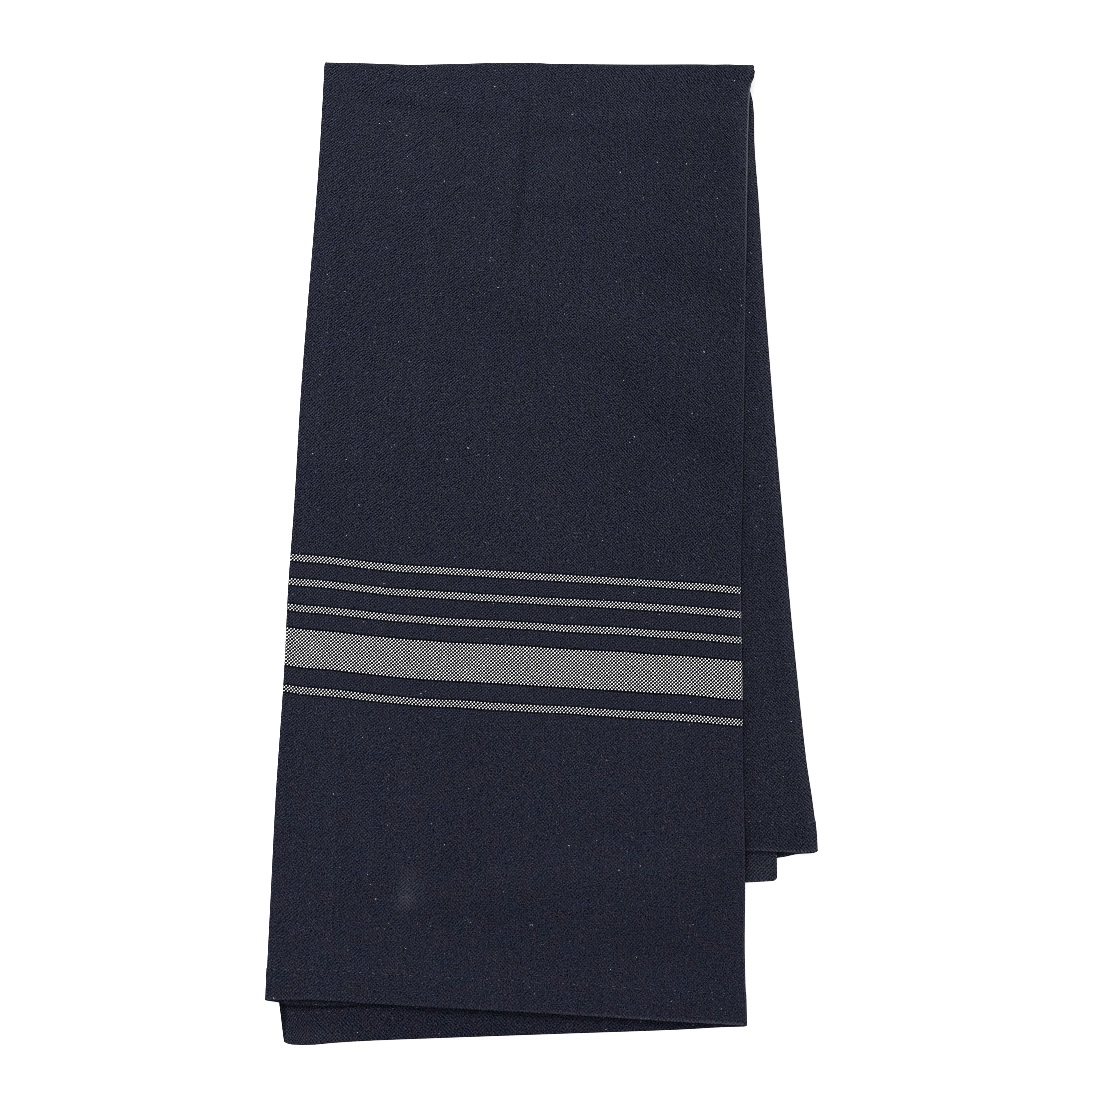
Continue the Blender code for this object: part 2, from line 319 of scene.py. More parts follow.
def backHeight(x, y, radius, fromFold):
    # The lowest layer lies on the table. The others swell, most of all beside the front's right fold,
    # lie flatter from the wrapped third's hem on, and come down past the hem of the layer below.
    onTable = towel["cloth"] / 2
    share = (towel["halfStack"] - radius) / (2 * towel["pitch"])
    inside, outside = towel["bulgeFrom"]
    beside = smoothStep((x - foldEdge(frontFolds, y, "right") - inside) / (outside - inside))
    swelling = (towel["backRise"] + towel["bulge"] * beside) * share
    z = towel["axisHeight"] - radius + swelling * smoothStep(fromFold / towel["riseReach"])
    z = z + towel["backWaviness"] * looseness(x, y, -radius) * np.sqrt(share)
    fromHem = y - curveThrough(hems["back"]["wrapped"], x)
    flatter = 1 - towel["backHemPressed"] * near(fromHem, towel["backHemReach"])
    past = curveThrough(hems["back"]["middle"], x) - y
    return onTable + (z - onTable) * flatter * (1 - smoothStep(past / towel["droop"]))


def bells(x, y):
    # each swell and each crease as a bell of height 1, with its height and its tone of painted light and
    # shade
    for sx, sy, across, along, high, tone in swells:
        yield np.exp(-((x - sx) / across) ** 2 - ((y - sy) / along) ** 2), high, tone
    for x0, y0, x1, y1, half, high, tone in creases:
        length = np.hypot(x1 - x0, y1 - y0)
        ux, uy = (x1 - x0) / length, (y1 - y0) / length
        along = (x - x0) * ux + (y - y0) * uy
        aside = (y - y0) * ux - (x - x0) * uy
        beyond = np.maximum(np.maximum(-along, along - length), 0)
        yield np.exp(-(aside / half) ** 2 - (beyond / creaseFade) ** 2), high, tone


def relief(x, y):
    # sum of round swells, and of ridges and troughs that fade past their ends
    return sum(mark * high for mark, high, _ in bells(x, y))


def looseness(x, y, radius):
    # humps, sin(x) * sin(y), and slanting ripples, sin(x - y), both shifted from layer to layer
    layer = radius / towel["pitch"]
    (across, along), (shiftX, shiftY) = towel["humps"], towel["humpShift"]
    humps = np.sin(x / across + shiftX * layer) * np.sin(y / along + shiftY * layer + towel["humpStart"])
    across, along = towel["ripples"]
    ripples = np.sin(x / across - y / along + towel["rippleShift"] * layer)
    return humps + towel["rippleShare"] * ripples


def halfSurface(half, columns, axisY):
    # One half, from its hem to the crosswise fold's axis: each column runs straight along y, with its
    # rows at the same shares of its length. path is the cloth's length from the axis, less than 0 on
    # the back half, and hem the distance from the hem.
    folds = {"front": frontFolds, "back": backFolds}[half]
    hemEnd = towel["hemDepth"] + np.array(towel["hemEndRows"])
    edge = np.concatenate([rimPlaces("hem"), towel["hemRows"], hemEnd])
    fromHem = gaugeFrom(edge, hemReach[half], *towel["rows"][half])[:, None]
    radius = columns["radius"]
    nominal = np.full(len(radius), axisY.mean() - hemReach[half])
    hem = hemLine(half, columns, placeAcross(columns, folds, nominal))
    y = hem + (axisY - hem) * (fromHem / hemReach[half])
    x = placeAcross(columns, folds, y)
    if half == "front":
        z = frontHeight(x, y, radius, fromHem)
        path = axisY - y
    else:
        z = backHeight(x, y, radius, axisY - y)
        path = y - axisY
    return {"x": x, "y": y, "z": z, "path": path, "hem": fromHem + 0 * x}


def middleSurface():
    # The sheet's middle on a grid: rows from the front hem over the crosswise fold to the back hem,
    # columns from the inner third's selvedge to the wrapped third's. Over the fold every layer is a
    # half circle of its own radius.
    columns = sectionColumns()
    radius = columns["radius"]
    foldX = placeAcross(columns, frontFolds, np.full(len(radius), frontFolds[0, 0]))
    axisY = curveThrough(crosswiseFold, foldX) - towel["halfStack"] - towel["cloth"] / 2
    front = halfSurface("front", columns, axisY)
    back = {name: values[::-1] for name, values in halfSurface("back", columns, axisY).items()}
    turn = np.linspace(0, pi, towel["turnSteps"] + 1)[1:-1, None]
    lift = (front["z"][-1] - towel["axisHeight"] - radius) * (0.5 + 0.5 * np.cos(turn))
    farFromHem = 1e3
    over = {
        "x": foldX + 0 * turn,
        "y": axisY + (radius + np.abs(columns["outward"])) * np.sin(turn),
        "z": towel["axisHeight"] + radius * np.cos(turn) + lift,
        "path": -radius * turn,
        "hem": farFromHem + 0 * radius * turn,
    }
    # past the fold the weave runs on: the outer layers' longer way round fades over the next stretch
    fade = 1 - smoothStep(-back["path"] / towel["evenedOver"])
    meanRadius = 1.5 * towel["pitch"]
    back["path"] = back["path"] - pi * (radius * fade + meanRadius * (1 - fade))

    grid = {name: np.concatenate([front[name], over[name], back[name]]) for name in front}
    atFold = np.stack([columns["share"] * towel["widthAtFold"] + columns["offset"], radius])
    grid["across"] = np.concatenate([[0], np.cumsum(np.hypot(*np.diff(atFold)))]) + 0 * grid["x"]
    grid["axisY"] = axisY + 0 * grid["x"]
    for name in ("third", "radius", "fromSelvedge"):
        grid[name] = columns[name] + 0 * grid["x"]
    # centred, with the cloth's half thickness outside the crosswise fold
    x, y = grid["x"], grid["y"]
    middleX, middleY = (x.min() + x.max()) / 2, (y.min() + y.max() + towel["cloth"] / 2) / 2
    grid["points"] = np.stack([x - middleX, y - middleY, grid["z"]], axis=-1)
    return grid


def rounded(distance, thickness):
    # quarter circle: a rim half the thickness wide closes the sheet's edge
    inward = np.clip(distance / (thickness / 2), 0, 1)
    return np.sqrt(1 - (1 - inward) ** 2)


def sheetThickness(grid):
    # one cloth, thicker over the turned hem, rounded off to nothing at the hems and selvedges
    turned = smoothStep((towel["hemDepth"] - grid["hem"]) / towel["hemStep"] + 0.5)
    thickness = towel["cloth"] + (towel["hem"] - towel["cloth"]) * turned
    return thickness * rounded(grid["hem"], towel["hem"]) * rounded(grid["fromSelvedge"], towel["cloth"])


def twoFaces(points, thickness):
    # the sheet's two faces, half the thickness to either side of its middle along the cross product
    # of the grid's two directions, and pressed flat on the table
    normal = np.cross(np.gradient(points, axis=1), np.gradient(points, axis=0))
    normal = normal / np.maximum(np.linalg.norm(normal, axis=-1, keepdims=True), 1e-9)
    aside = normal * thickness[..., None] / 2
    faces = np.stack([points + aside, points - aside])
    faces[..., 2] = np.maximum(faces[..., 2], 0)
    return faces


def gridQuads(index, flip=False):
    # the four corners of every cell of a grid of vertex numbers
    corners = [index[:-1, :-1], index[:-1, 1:], index[1:, 1:], index[1:, :-1]]
    return np.stack(corners[::-1] if flip else corners, axis=-1).reshape(-1, 4)


def onBothFaces(top, under):
    # values of the shared edges and the upper face, then of the inside of the lower face
    return np.concatenate([top.reshape(-1, top.shape[-1]), under[1:-1, 1:-1].reshape(-1, under.shape[-1])])


def closedGrid(faces):
    # The two faces share the vertices of all four edges, so the sheet closes without a seam.
    rows, columns = faces.shape[1:3]
    top = np.arange(rows * columns).reshape(rows, columns)
    under = top.copy()
    inside = under[1:-1, 1:-1]
    inside[:] = rows * columns + np.arange(inside.size).reshape(inside.shape)
    return onBothFaces(faces[0], faces[1]), np.concatenate([gridQuads(top), gridQuads(under, True)])


def newObject(name, data):
    # linked to the scene
    made = bpy.data.objects.new(name, data)
    bpy.context.scene.collection.objects.link(made)
    return made


def makeMesh(name, vertices, polygons, material):
    # vertices in millimetres and polygons of four corners, as arrays
    mesh = bpy.data.meshes.new(name)
    mesh.vertices.add(len(vertices))
    mesh.vertices.foreach_set("co", (vertices * mm).astype(np.float32).ravel())
    mesh.loops.add(polygons.size)
    mesh.loops.foreach_set("vertex_index", polygons.astype(np.int32).ravel())
    mesh.polygons.add(len(polygons))
    mesh.polygons.foreach_set("loop_start", np.arange(0, polygons.size, 4, dtype=np.int32))
    mesh.update(calc_edges=True)
    mesh.shade_smooth()
    mesh.materials.append(material)
    return newObject(name, mesh)


def writeUv(mesh, name, values):
    # one pair of values for each vertex, spread to the corners of the faces
    layer = mesh.uv_layers.new(name=name)
    corner = np.empty(len(mesh.loops), np.int32)
    mesh.loops.foreach_get("vertex_index", corner)
    layer.uv.foreach_set("vector", values[corner].astype(np.float32).ravel())


class Wire:
    # a socket of a material's nodes, whose operators add Math nodes
    def __init__(self, tree, socket=None):
        self.tree, self.socket = tree, socket

    def node(self, kind, settings=None, sockets=None, output=0):
        # a ramp's stops are pairs of position and grey
        made = self.tree.nodes.new(kind)
        for name, value in (settings or {}).items():
            if name == "stops":
                ramp = made.color_ramp
                ramp.interpolation = "CONSTANT"
                for _ in value[2:]:
                    ramp.elements.new(1)
                for element, (position, grey) in zip(ramp.elements, value):
                    element.position = position
                    element.color = (grey, grey, grey, 1)
            else:
                setattr(made, name, value)
        for name, value in (sockets or {}).items():
            if isinstance(value, Wire):
                self.tree.links.new(value.socket, made.inputs[name])
            elif isinstance(value, tuple) and made.inputs[name].type == "RGBA":
                made.inputs[name].default_value = (*value, 1)
            else:
                made.inputs[name].default_value = value
        return Wire(self.tree, made.outputs[output])

    def math(self, operation, *values):
        return self.node("ShaderNodeMath", {"operation": operation}, dict(enumerate(values)))

    def __add__(self, value):
        return self.math("ADD", self, value)

    __radd__ = __add__

    def __sub__(self, value):
        return self.math("SUBTRACT", self, value)

    def __rsub__(self, value):
        return self.math("SUBTRACT", value, self)

    def __mul__(self, value):
        return self.math("MULTIPLY", self, value)

    __rmul__ = __mul__

    def __gt__(self, value):
        return self.math("GREATER_THAN", self, value)

    def smooth(self, low, high):
        # 0 below low, 1 above high
        return self.node("ShaderNodeMapRange", {"interpolation_type": "SMOOTHSTEP"},
                         {"Value": self, "From Min": low, "From Max": high})

    def mix(self, first, second):
        # colours, by this factor
        return self.node("ShaderNodeMix", {"data_type": "RGBA"}, {0: self, 6: first, 7: second}, output=2)

    def scaling(self, colour):
        # a colour made darker or lighter by this number
        return self.node("ShaderNodeVectorMath", {"operation": "SCALE"}, {"Vector": colour, "Scale": self})

    def parts(self, kind="Color"):
        # the three channels of a colour, or coordinates of a vector
        name = "ShaderNodeSeparate" + {"Color": "Color", "Vector": "XYZ"}[kind]
        separate = self.node(name, {}, {kind: self}).socket.node
        return [Wire(self.tree, output) for output in separate.outputs]

    def noise(self, place, patches, output="Fac"):
        # flat noise about 0.5
        size, detail = weave["patches"][patches]
        return self.node("ShaderNodeTexNoise", {"noise_dimensions": "2D"},
                         {"Vector": place, "Scale": 1 / (size * mm), "Detail": detail}, output=output)


def newMaterial(name, roughness, specular=0.0):
    # a material, its shader node, and a Wire on its tree that other nodes start from
    material = bpy.data.materials.new(name)
    material.use_nodes = True
    shader = material.node_tree.nodes["Principled BSDF"]
    shader.inputs["Roughness"].default_value = roughness
    shader.inputs["Specular IOR Level"].default_value = specular
    return material, shader, Wire(material.node_tree)


weave = {
    "yarnPitch": 0.669,  # both ways
    "borderPick": 800,  # pick at which the border begins, counted from the back hem
    # the white stripes' first picks, counted from there, their numbers of picks, and how white
    "stripes": ((0, 4, 0.87), (14, 4, 0.87), (29, 4, 0.87), (43, 22, 1), (76, 4, 0.87)),
    "besideStripe": 0.7,  # how much darker navy picks are next to one
    "ownPicks": 4,  # navy picks of the border outside its stripes
    "borderBlend": 2,  # picks over which the yarns grow steadier before it
    "wander": 0.5,  # yarns off their straight line, in yarns
    "jitter": 0.4,  # and off their place at each crossing
    "lean": 0.42,  # by which floats join up along a diagonal
    "leanBand": 250.0,  # width over which that changes to and fro
    "leanUneven": 2.2,  # and its changes from place to place
    "borderLean": -0.12,
    "borderSteady": 0.8,  # how much steadier the yarns lie in the border
    "leanFades": (0.38, 0.62, 0.75),  # from, to (metres from the back hem), and by how much
    "contrast": 1.0,  # between floats of weft and warp
    # the same at the front hem by the right fold, on the middle third and on the wrapped third
    "hemContrast": (0.42, 0.70),
    "contrastPerMetre": 1.0,  # more of it away from that fold
    "foldPlace": 0.35,  # of that fold, in metres across the yarns
    "towardHem": (0.50, 0.70),  # metres from the back hem over which it all comes in
    "calmBackHem": (0.2, 0.2),  # less contrast at the back hem, and metres until it is back
    "uneven": 0.10,  # one float's brightness against the next
    "tufts": 1.3,  # one tuft's brightness against the others of its float
    "fibres": 0.35,  # and against any other tuft
    "warpUneven": 0.04,  # one warp yarn's brightness against the next
    "otherYarns": 1e4,  # yarns away, where more random numbers come from
    "cloudy": 0.14,  # broad paler and darker patches
    "navy": (0.0143, 0.0156, 0.0202),
    "depth": (0.0, 0.0, 0.0043),  # blue that is left in the shade between the yarns
    "hemHue": (0.010, 0.08),  # more red and more blue toward the front hem
    "ruddy": (0.12, 0.50),  # changes of the red on most of the cloth, and toward the front hem
    "bluish": 0.32,  # changes of the blue
    # size in millimetres and detail of the noise that each of these follows
    "patches": {"wander": (25, 2.0), "jitter": (1, 0.0), "lean": (6, 1.0), "cloudy": (45, 3.0),
                "tint": (6, 1.0)},
    "white": (0.86, 0.86, 0.85),
    "whiteUneven": 0.15,  # one white float's brightness against the next
    "whiter": 0.55,  # more of it for each metre to the right
    "whiteFloat": (0.14, 0.56),  # crossing from which it shows, and where it is full
    "underWhite": (0.002, 0.002, 0.004),  # navy warp between the white floats
    "fadeAndHighlight": (0.130, 0.135, 0.175),  # pale colour for painted highlights along folds and edges, painted light, and a real faded spot
    "paleOnFloats": (0.65, 0.9),  # share all over, and more of it on the floats
    "lint": (0.42, 0.42, 0.47),
    "lintShare": 0.0011,  # of the tufts
    "lintTones": (0.14, 5.0),  # the darkest's share, and how rare bright ones are
    "roughness": 0.9,
    "bump": (0.5, 0.1),  # strength, and height of a float's crown
}
wear = {
    # Pale: painted highlights on rims and edges, painted light that lifts shaded places, and one real faded
    # spot. A pair of reach and paleness fades away from an edge.
    "foldRim": (-0.5, 1.02, 0.3),  # painted highlight on the front's right fold rim: from and to, in pitches from the fold's middle, and how softly it ends
    "foldPlaces": [-150, -110, -80, -55, -35, -5, 30, 60, 80, 105, 130, 150, 184, 187.5],  # y down it
    "foldAmounts": [0.13, 0.16, 0.08, 0.22, 0.35, 0.1, 0.14, 0.30, 0.29, 0.31, 0.58, 0.84, 0.9, 0],
    "inFromFold": (5.0, 0.06),  # in from that rim, as a share of its paleness
    "backFold": (2.4, 0.095),  # painted highlight in from the back half's right fold
    "creviceLight": (0.35, 0.14),  # painted light on the back half, out from the front's right fold, lifting the crevice's shade
    "hemRim": (0.9, 0.6),  # painted highlight on hem rims: reach in from a hem, and how soft it ends
    "hemPlaces": [-100, -40, 0, 50, 70],  # x along the front hem
    "hemAmounts": [0.12, 0.04, 0.10, 0.26, 0.33],
    "backHems": (0.25, 0.08),  # painted highlight on the back half's upper hem, and painted light on the others, which lie in shade
    # spots: the first two a real faded spot, the third and fifth painted light on shaded places, the fourth
    # a painted highlight on the selvedge's rim; half, third, x, y, reach across, reach along, paleness
    "litAndFadeSpots": (
        ("front", middleThird, -50.9, -142.7, 3.2, 3.0, 0.20),
        ("front", middleThird, -49.8, -137.5, 4.4, 5.5, 0.09),
        ("front", wrappedThird, -85, -193.5, 16, 5, 0.10),
        ("front", wrappedThird, -93.7, -190.5, 0.6, 5.5, 0.13),
        ("back", innerThird, 80, -132, 9, 6, 0.10),
    ),
    "paintedRidgeLight": 0.2,  # painted light for each tone of a swell or crease
    # Shaded
    "shade": (3.6, 0.18),  # on the back half, out from the front's right fold
    "selvedge": 0.40,  # painted shadow along the wrapped third's selvedge, where it shows below the front hem
    "selvedgeFrom": (-94.1, -150),  # to the left of this x and below this y
    "selvedgeFade": 0.5,
    "paintedUndersideShade": 0.18,  # painted shadow on the front half's underside, where it shows under the front hem
}
# The first stripe's upper edge on the front: x, y. Its weft bows and leans.
borderLine = np.array([
    (-97, -11.6), (-92.7, -12.4), (-54.7, -17.1), (-16.7, -19.5), (21.2, -21.7), (59.1, -24.2),
    (74.2, -25.2),
])
clothMiddle = towel["flatSize"][0] / 2 * mm  # across the yarns


def about(noise, spread):
    # from 1 - spread / 2 to 1 + spread / 2 as the noise goes from 0 to 1
    return noise * spread + (1 - spread / 2)


def borderSpan():
    # picks of the border, with its own navy ones at both ends
    first, picks, _ = weave["stripes"][-1]
    return first + picks + 2 * weave["ownPicks"]


def yarnCounts(wire, place, u, v):
    # Warp and weft counted in yarns, which wander slowly and jitter at each crossing, and the lean
    # of the floats, a sine across the cloth and noise. In the border all three are steadier.
    perMetre = 1 / (weave["yarnPitch"] * mm)
    first = weave["borderPick"] - weave["ownPicks"]
    last = first + borderSpan()
    blend = weave["borderBlend"]
    begun = v.smooth((first - blend) / perMetre, first / perMetre)
    inBorder = begun - v.smooth(last / perMetre, (last + blend) / perMetre)
    loose = 1 - inBorder * weave["borderSteady"]
    driftU, driftV, _ = wire.noise(place, "wander", "Color").parts()
    shiftU, shiftV, _ = wire.noise(place, "jitter", "Color").parts()
    wander, jitter = 2 * weave["wander"], loose * (2 * weave["jitter"])
    warp = u * perMetre + (driftU - 0.5) * wander + (shiftU - 0.5) * jitter
    weft = v * perMetre + (driftV - 0.5) * wander + (shiftV - 0.5) * jitter
    fromMiddle = u - clothMiddle
    begins, ends, fading = weave["leanFades"]
    lean = wire.math("SINE", fromMiddle * (2 * pi / (weave["leanBand"] * mm))) * weave["lean"]
    lean = lean * (1 - v.smooth(begins, ends) * fading)
    lean = lean + (wire.noise(place, "lean") - 0.5) * weave["leanUneven"]
    return warp, weft, lean * loose + inBorder * weave["borderLean"]


def randomCells(wire, *counts):
    # three random numbers for each whole cell of two counts
    whole = {name: wire.math("FLOOR", count) for name, count in zip("XY", counts)}
    cell = wire.node("ShaderNodeCombineXYZ", {}, whole)
    noise = {"noise_dimensions": "2D"}
    return wire.node("ShaderNodeTexWhiteNoise", noise, {"Vector": cell}, output="Color").parts()


def borderStripes(wire, weft):
    # how white each pick is, as steps
    lead, span = weave["ownPicks"], borderSpan()
    stops = [(0.0, 0)]
    for first, picks, white in weave["stripes"]:
        stops += [((first + lead) / span, white), ((first + picks + lead) / span, 0)]
    pick = (wire.math("FLOOR", weft) - (weave["borderPick"] - lead - 0.5)) * (1 / span)
    return wire.node("ShaderNodeValToRGB", {"stops": stops}, {"Fac": pick})


def weaveContrast(wire, u, v, towardHem):
    # Between the floats of weft and warp: less toward the front hem, least of all at the right fold
    # there, and a little less at the back hem.
    pastFold = u - weave["foldPlace"]
    onMiddle, onWrapped = weave["hemContrast"]
    atHem = (pastFold > 0) * (onWrapped - onMiddle) + onMiddle
    atHem = wire.math("ABSOLUTE", pastFold) * weave["contrastPerMetre"] + atHem
    calm, until = weave["calmBackHem"]
    contrast = weave["contrast"] - (1 - v.smooth(0.0, until)) * calm
    return contrast + towardHem * (atHem - weave["contrast"])


def navyGround(wire, place, u, v, warp, weft, crossing):
    # Brightness is 1 + contrast * crossing, times 1 + tufts, times random numbers for each float,
    # tuft, warp yarn and broad patch. The tufts of fibres of a float differ by a * sin(2 warp) +
    # b * sin(2 weft) + c * sin(2 warp) * sin(2 weft), with a, b and c its own.
    towardHem = v.smooth(*weave["towardHem"])
    contrast = weaveContrast(wire, u, v, towardHem)
    acrossTone, alongTone, bothTone = randomCells(wire, warp + weave["otherYarns"], weft)
    sideways, lengthways = wire.math("SINE", warp * (2 * pi)), wire.math("SINE", weft * (2 * pi))
    tufts = ((acrossTone - 0.5) * sideways + (alongTone - 0.5) * lengthways
             + (bothTone - 0.5) * sideways * lengthways)
    floatTone, _, _ = randomCells(wire, warp, weft)
    tuftTone, _, _ = randomCells(wire, warp * 2, weft * 2)
    yarn = {"W": wire.math("FLOOR", warp)}
    yarnTone = wire.node("ShaderNodeTexWhiteNoise", {"noise_dimensions": "1D"}, yarn)
    tone = (contrast * crossing + 1) * about(floatTone, 2 * weave["uneven"]) * (tufts * weave["tufts"] + 1)
    tone = tone * about(tuftTone, 2 * weave["fibres"]) * about(yarnTone, 2 * weave["warpUneven"])
    tone = tone * about(wire.noise(place, "cloudy"), weave["cloudy"])

    # its red and blue change from place to place, and toward the front hem
    red, _, blue = wire.noise(place, "tint", "Color").parts()
    calmRed, hemRed = weave["ruddy"]
    moreRed, moreBlue = weave["hemHue"]
    red = (red - 0.5) * (towardHem * (hemRed - calmRed) + calmRed) + towardHem * moreRed + 1
    blue = about(blue, weave["bluish"]) + towardHem * moreBlue
    tint = wire.node("ShaderNodeCombineXYZ", {}, {"X": red, "Y": 1.0, "Z": blue})
    tint = wire.node("ShaderNodeVectorMath", {"operation": "MULTIPLY"}, {0: tint, 1: weave["navy"]})
    navy = wire.math("MAXIMUM", tone, 0.0).scaling(tint)
    navy = wire.node("ShaderNodeVectorMath", {"operation": "ADD"}, {0: navy, 1: weave["depth"]})
    nextTo = wire.math("MAXIMUM", borderStripes(wire, weft + 1), borderStripes(wire, weft - 1))
    return (1 - nextTo * weave["besideStripe"]).scaling(navy)


def whiteWeft(wire, u, warp, weft, crossing):
    # white where the weft lies on top, and nearly black between
    _, tone, _ = randomCells(wire, warp, weft)
    tone = about(tone, 2 * weave["whiteUneven"]) + (u - clothMiddle) * weave["whiter"]
    return crossing.smooth(*weave["whiteFloat"]).mix(weave["underWhite"], tone.scaling(weave["white"]))


def cottonCloth():
    # Plain weave. With warp and weft counted in yarns, the crossing is sin(warp) * sin(weft)
    # + lean * cos(warp) * cos(weft). The weft lies on top where it is above 0, and the warp elsewhere.
    material, shader, wire = newMaterial("navyCottonWithBorder", weave["roughness"])
    place = wire.node("ShaderNodeUVMap", {"uv_map": "weave"})
    # the map's first channel is painted light with one real faded spot, its second is painted shade
    litAndFaded, shaded, _ = wire.node("ShaderNodeUVMap", {"uv_map": "wear"}).parts("Vector")
    u, v, _ = place.parts("Vector")
    warp, weft, lean = yarnCounts(wire, place, u, v)
    warpTurn, weftTurn = warp * pi, weft * pi
    crossing = (wire.math("SINE", warpTurn) * wire.math("SINE", weftTurn)
                + lean * wire.math("COSINE", warpTurn) * wire.math("COSINE", weftTurn))
    navy = navyGround(wire, place, u, v, warp, weft, crossing)
    colour = borderStripes(wire, weft).mix(navy, whiteWeft(wire, u, warp, weft, crossing))

    # pale from painted light and one real faded spot, most of all on the floats, then darkened by painted
    # shade, then specked with stray lint
    anywhere, floats = weave["paleOnFloats"]
    colour = (litAndFaded * (crossing * (1 - litAndFaded) * floats + anywhere)).mix(colour, weave["fadeAndHighlight"])
    colour = (1 - shaded).scaling(colour)
    _, chance, lintTone = randomCells(wire, warp * 2, weft * 2)
    darkest, rarity = weave["lintTones"]
    lint = (wire.math("POWER", lintTone, rarity) * (1 - darkest) + darkest).scaling(weave["lint"])
    colour = (chance > 1 - weave["lintShare"]).mix(colour, lint)
    wire.tree.links.new(colour.socket, shader.inputs["Base Color"])
    strength, crown = weave["bump"]
    bump = wire.node("ShaderNodeBump", {}, {"Strength": strength, "Distance": crown * mm,
                                            "Height": wire.math("ABSOLUTE", crossing)})
    wire.tree.links.new(bump.socket, shader.inputs["Normal"])
    return material


def weaveCoordinates(grid):
    # Across the yarns and along them. The border's first pick follows borderLine on the middle
    # third, and past the folds it goes on at the line's mean slope.
    across = grid["across"][0]
    onFront = grid["third"][0] == middleThird
    borderRow = np.abs(grid["y"][:, onFront].mean(axis=1) - borderLine[:, 1].mean()).argmin()
    bow = curveThrough(borderLine, grid["x"][borderRow])
    first, last = across[onFront][0], across[onFront][-1]
    slope = (bow[onFront][-1] - bow[onFront][0]) / (last - first)
    past = np.minimum(across - first, 0) + np.maximum(across - last, 0)
    bow = np.interp(across, across[onFront], bow[onFront]) + slope * past
    along = grid["path"] - (grid["axisY"] - bow) + weave["borderPick"] * weave["yarnPitch"]
    return np.stack([grid["across"], along], axis=-1) * mm


def besideFrontFold(grid):
    # on the back half's top layer, the distance out from the front's right fold
    distance = grid["x"] - foldEdge(frontFolds, grid["y"], "right")
    return np.where((grid["third"] == wrappedThird) & (grid["path"] <= 0), distance, np.inf)


def paintedLightAndFading(grid, tone):
    # Painted light, with one real faded spot. On the front, painted highlights on the right fold's rim and
    # a little of the cloth in from it, on the hem's rim and on the ridges. On the back, painted highlights
    # on the hems' rims and the right fold, and painted light in the crevice beside the front's fold. On
    # both, the spots: one faded, the others painted light.
    x, y, third = grid["x"], grid["y"], grid["third"]
    front, middle = grid["path"] > 0, third == middleThird
    # painted highlight on the front's right fold rim and a little in from it, its strength set down the
    # fold by foldAmounts
    low, high, soft = wear["foldRim"]
    fromMiddle = grid["radius"] / towel["pitch"] - 1.5
    rim = (third == rightFold) * (fromMiddle > low) * smoothStep((high - fromMiddle) / soft)
    reach, share = wear["inFromFold"]
    rim = rim + middle * front * share * near(foldEdge(frontFolds, y, "right") - x, reach)
    downFold = np.interp(y, wear["foldPlaces"], wear["foldAmounts"])
    # painted highlights along the hems' rims, on the front and the back
    reach, soft = wear["hemRim"]
    hemRim = smoothStep((reach - grid["hem"]) / soft)
    alongHem = np.interp(x, wear["hemPlaces"], wear["hemAmounts"])
    # painted light on the ridges comes from the positive tones of the swells and creases
    onFront = rim * downFold + middle * hemRim * alongHem + np.maximum(tone, 0) * wear["paintedRidgeLight"]

    # painted highlight along the back half's right fold
    reach, pale = wear["backFold"]
    backFold = pale * near(foldEdge(backFolds, y, "right") - x, reach)
    # painted light in the crevice beside the front's right fold
    reach, pale = wear["creviceLight"]
    creviceLight = pale * bell(besideFrontFold(grid), reach)
    onBack = hemRim * np.where(third == wrappedThird, *wear["backHems"]) + backFold + creviceLight
    litAndFaded = np.where(front, onFront, onBack)
    # a real faded spot, and painted light on shaded places and on the selvedge's rim
    for half, on, spotX, spotY, across, along, pale in wear["litAndFadeSpots"]:
        here = (third == on) & (front == (half == "front"))
        litAndFaded = litAndFaded + here * pale * bell(x - spotX, across) * bell(y - spotY, along)
    return litAndFaded


def shadedDark(grid, tone, paintedUndersideShade):
    # Painted shade. On the front, in the hollows, as a shadow strip at the wrapped third's selvedge below
    # the hem, and as the hem's shadow on the underside. On the back, a soft painted shadow beside the
    # front's right fold.
    third = grid["third"]
    # a painted shadow strip at the wrapped third's left selvedge below the front hem
    left, below = wear["selvedgeFrom"]
    selvedge = (third == wrappedThird) * (grid["y"] < below)
    selvedge = selvedge * smoothStep((left - grid["x"]) / wear["selvedgeFade"])
    # painted shadow under the front hem, on the underside faces that show there
    underside = paintedUndersideShade * wear["paintedUndersideShade"] * (third != middleThird)
    onFront = wear["selvedge"] * selvedge + np.maximum(-tone, 0) + underside
    reach, dark = wear["shade"]
    return np.where(grid["path"] > 0, onFront, dark * bell(besideFrontFold(grid), reach))


def paintedLightAndWearOfCloth(grid, paintedUndersideShade):
    # painted light with one real faded spot, and painted shade, from 0 to 1. The painted tone of the swells
    # and creases is seen on the middle third.
    # painted light and shade of the swells and creases
    paintedTones = sum(mark * tone for mark, _, tone in bells(grid["x"], grid["y"]))
    tone = (grid["third"] == middleThird) * paintedTones
    pair = [paintedLightAndFading(grid, tone), shadedDark(grid, tone, paintedUndersideShade)]
    return np.clip(np.stack(pair, axis=-1), 0, 1)


def buildTowel():
    grid = middleSurface()
    faces = twoFaces(grid["points"], sheetThickness(grid))
    vertices, polygons = closedGrid(faces)
    cloth = makeMesh("towelCloth", vertices, polygons, cottonCloth())
    place = weaveCoordinates(grid)
    writeUv(cloth.data, "weave", onBothFaces(place, place))
    writeUv(cloth.data, "wear", onBothFaces(paintedLightAndWearOfCloth(grid, 0), paintedLightAndWearOfCloth(grid, 1)))
    print("cloth:", len(polygons) * 2, "triangles")
    return cloth, grid, faces


